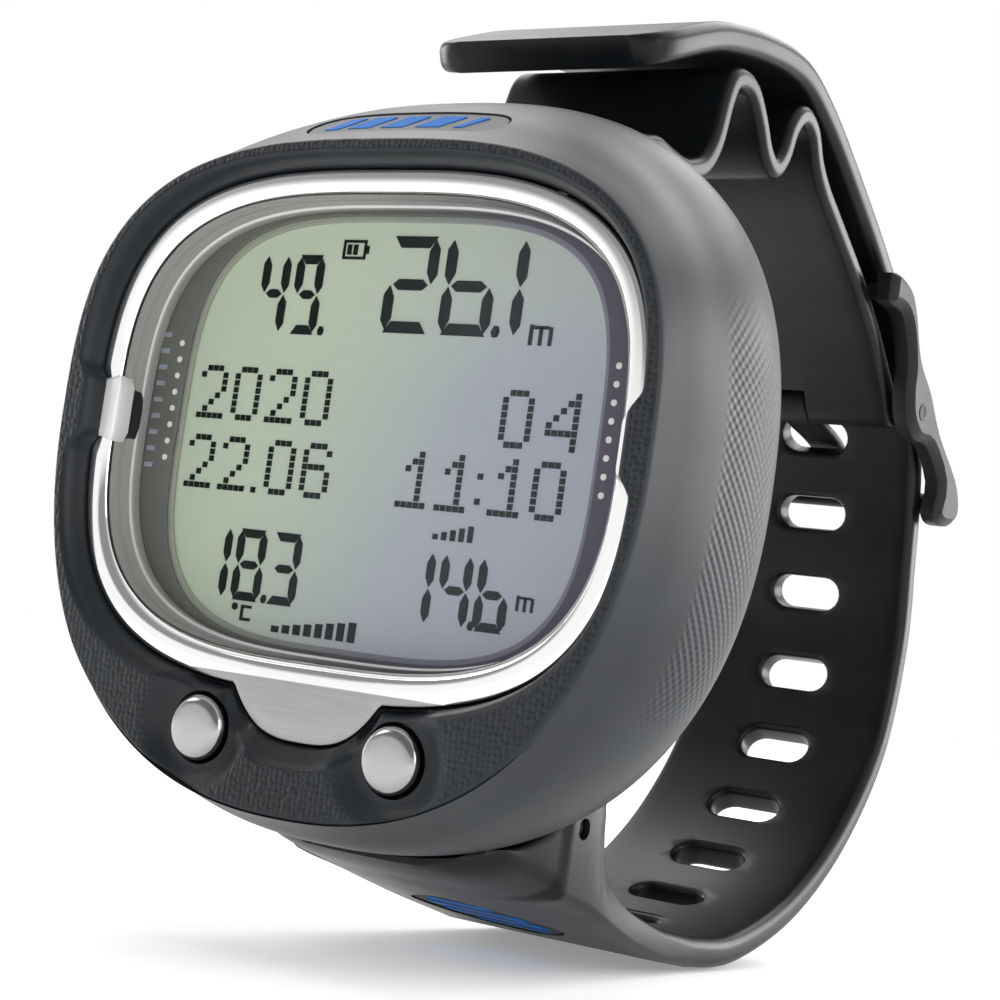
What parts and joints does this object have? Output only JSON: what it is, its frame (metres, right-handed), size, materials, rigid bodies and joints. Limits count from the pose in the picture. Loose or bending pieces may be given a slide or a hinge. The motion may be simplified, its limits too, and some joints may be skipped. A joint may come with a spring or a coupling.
{
  "type": "dive computer",
  "caption": "Wrist dive computer with a rounded square case, steel bezel, segment display, push buttons and a buckled rubber strap.",
  "frame": {"origin": "centre of the whole computer's box, on the level of its lowest point", "axes": "-Y out of the display towards the reader, +Z towards 12 o'clock, +X towards 3 o'clock"},
  "size_m": [0.0634, 0.1002, 0.0901],
  "materials": {
    "case_rubber": "satin moulded rubber over a hard case",
    "strap_rubber": "satin elastomer",
    "bezel_steel": "polished front band, brushed tab",
    "lens_clear": "clear, polished",
    "display_print": "printed grey mask with white dots",
    "lcd": "liquid crystal display, pale green to pale blue",
    "white_plastic": "moulded",
    "board_green": "solder mask",
    "steel": "satin",
    "button_steel": "polished",
    "black_plastic": "fine moulded texture",
    "seal_rubber": "matt",
    "brass": "turned",
    "blue_print": "blue inlay",
    "battery_steel": "nickel plated"
  },
  "bodies": {
    "case": {"case_body": "case_rubber", "bezel_ring": "bezel_steel", "bezel_clip": "lens_clear", "lens": "lens_clear", "lens_gasket": "seal_rubber", "display_mask": "display_print", "lcd_panel": "lcd", "lcd_holder": "black_plastic", "backlight_plate": "white_plastic", "zebra_strip_top": "seal_rubber", "zebra_strip_bottom": "seal_rubber", "circuit_board": "board_green", "switch_left": "steel", "switch_right": "steel", "battery": "battery_steel", "battery_contact_spring": "steel", "battery_contact_side": "steel", "buzzer": "brass", "pressure_sensor": "steel", "sensor_port_cover": "black_plastic", "case_back": "black_plastic", "case_back_gasket": "seal_rubber", "case_screw_1": "steel", "case_screw_2": "steel", "case_screw_3": "steel", "case_screw_4": "steel", "water_contact_left": "steel", "water_contact_right": "steel", "button_spring_left": "steel", "button_spring_right": "steel", "button_o_ring_left": "seal_rubber", "button_o_ring_right": "seal_rubber", "button_bush_left": "brass", "button_bush_right": "brass", "strap_upper": "strap_rubber", "strap_lower": "strap_rubber", "strap_pin_upper": "steel", "strap_pin_lower": "steel", "top_inlay": "blue_print", "bottom_inlay": "blue_print"},
    "button_left": {"button_left": "button_steel", "button_clip_left": "steel"},
    "button_right": {"button_right": "button_steel", "button_clip_right": "steel"},
    "battery_cover": {"battery_cover": "black_plastic", "battery_cover_o_ring": "seal_rubber"},
    "buckle": {"buckle_frame": "black_plastic", "buckle_pin": "steel"},
    "prong": {"prong": "black_plastic"}
  },
  "joints": [
    {"name": "button_left_press", "type": "slide", "parent": "case", "child": "button_left", "axis": [0, 1, 0], "range_m": [0, 0.0008], "stiffness_N_per_m": 1500, "springref_m": -0.0008},
    {"name": "button_right_press", "type": "slide", "parent": "case", "child": "button_right", "axis": [0, 1, 0], "range_m": [0, 0.0008], "stiffness_N_per_m": 1500, "springref_m": -0.0008},
    {"name": "battery_cover_turn", "type": "hinge", "parent": "case", "child": "battery_cover", "pos_m": [0, -0.02843, 0.03992], "axis": [0, 1, 0], "range_deg": [0, 60]},
    {"name": "buckle_swing", "type": "hinge", "parent": "case", "child": "buckle", "pos_m": [0, 0.03417, 0.06052], "axis": [1, 0, 0], "range_deg": [-3, 2]},
    {"name": "prong_swing", "type": "hinge", "parent": "case", "child": "prong", "pos_m": [0, 0.03417, 0.06052], "axis": [1, 0, 0], "range_deg": [0, 2.5]}
  ]
}
